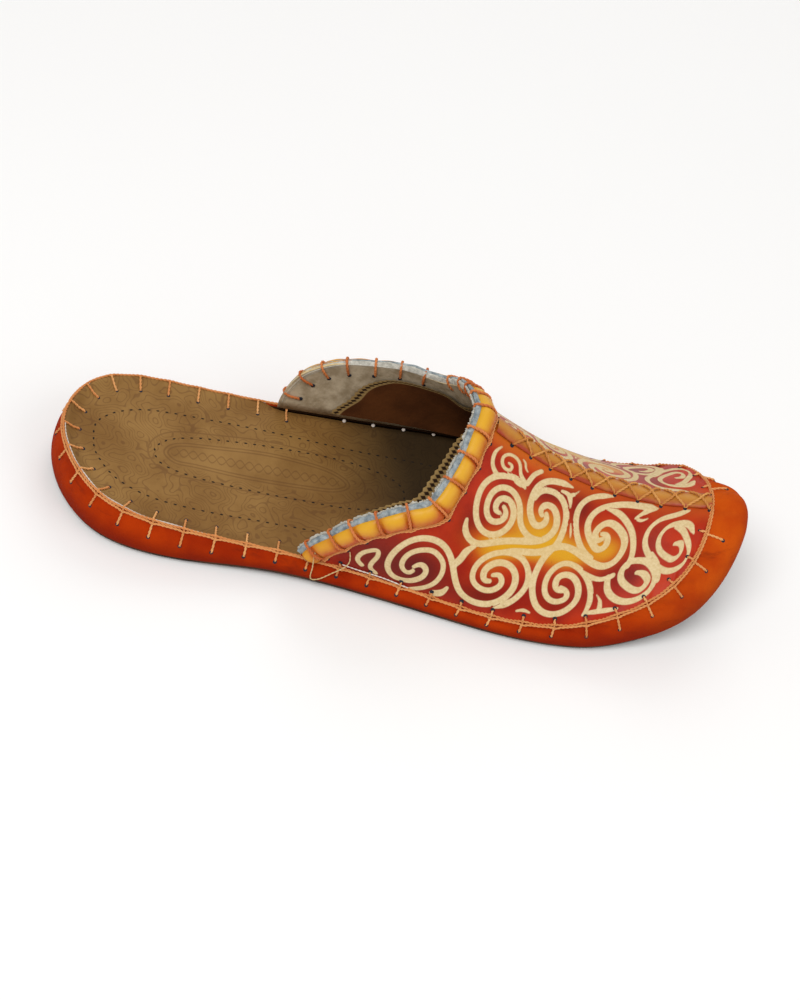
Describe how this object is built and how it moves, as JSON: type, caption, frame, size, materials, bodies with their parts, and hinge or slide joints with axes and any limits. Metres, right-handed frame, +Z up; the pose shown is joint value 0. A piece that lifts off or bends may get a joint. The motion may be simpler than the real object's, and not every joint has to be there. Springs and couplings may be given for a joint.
{
  "type": "babouche slipper",
  "caption": "Backless pointed slipper with an upturned blunt toe, flat leather sole, soft side band, hollow patterned upper and rolled collar binding",
  "frame": {"origin": "middle of the plan, on the floor that the slipper stands on", "axes": "+X to the toe, +Y to the outer side of the foot, +Z up"},
  "size_m": [0.2684, 0.0996, 0.0676],
  "materials": {
    "sole_leather": "matt dark brown leather",
    "insole_leather": "satin olive-brown embossed leather",
    "band_suede": "bright orange suede",
    "upper_leather": "satin dyed leather, red with cream scrolls",
    "strip_leather": "satin yellow-orange leather",
    "binding_leather": "satin yellow-orange leather roll"
  },
  "bodies": {
    "root": {"outsole": "sole_leather", "insole": "insole_leather", "side_band": "band_suede", "upper": "upper_leather", "seam_strip": "strip_leather", "collar_binding": "binding_leather"}
  },
  "joints": []
}
